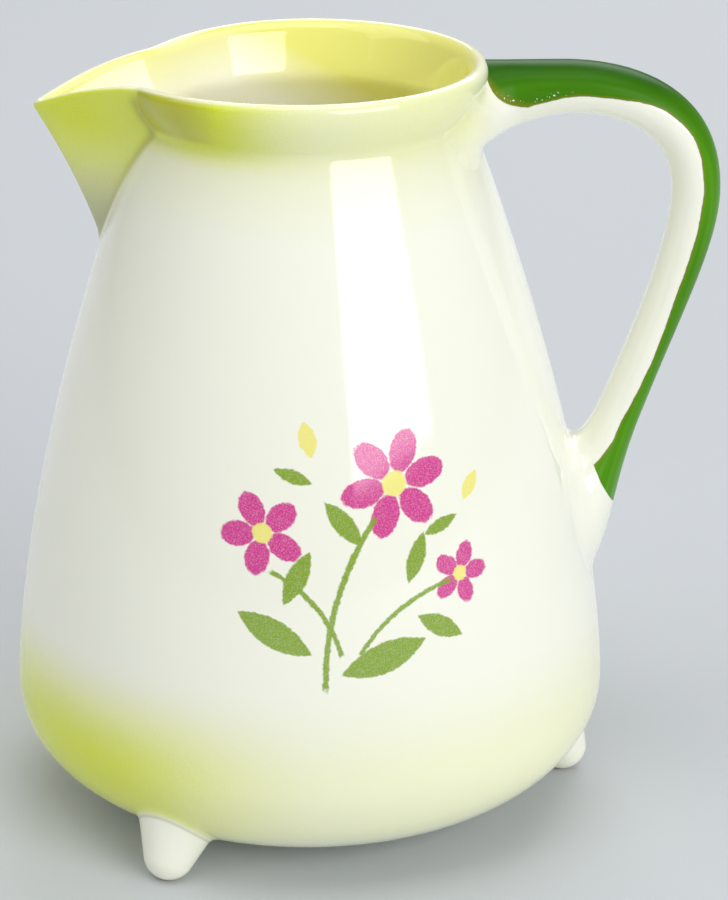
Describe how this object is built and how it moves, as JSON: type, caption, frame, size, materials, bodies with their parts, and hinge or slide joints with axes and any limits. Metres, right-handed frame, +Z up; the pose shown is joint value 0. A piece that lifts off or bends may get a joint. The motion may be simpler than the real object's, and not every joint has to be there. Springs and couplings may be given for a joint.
{
  "type": "footed ceramic pitcher",
  "caption": "Tapered earthenware jug on nub feet, with a beaked pouring spout, a rolled collar and a swept side handle, for holding and pouring drinks.",
  "frame": {"origin": "on the table, under the middle of the overall length and width; the jug's own axis stands 13.8 mm towards the spout from it", "axes": "+X towards the handle, so the spout points along -X; +Z up"},
  "size_m": [0.1836, 0.156, 0.198],
  "materials": {
    "cream_glaze": "clear gloss glaze over cream earthenware, airbrushed yellow-green at the collar, spout and foot of the body",
    "handle_glaze": "leaf-green brushwork under clear gloss glaze on the outer face, cream elsewhere"
  },
  "bodies": {
    "root": {"body": "cream_glaze", "spout": "cream_glaze", "handle": "handle_glaze", "foot_rear": "cream_glaze", "foot_left": "cream_glaze", "foot_right": "cream_glaze"}
  },
  "joints": []
}
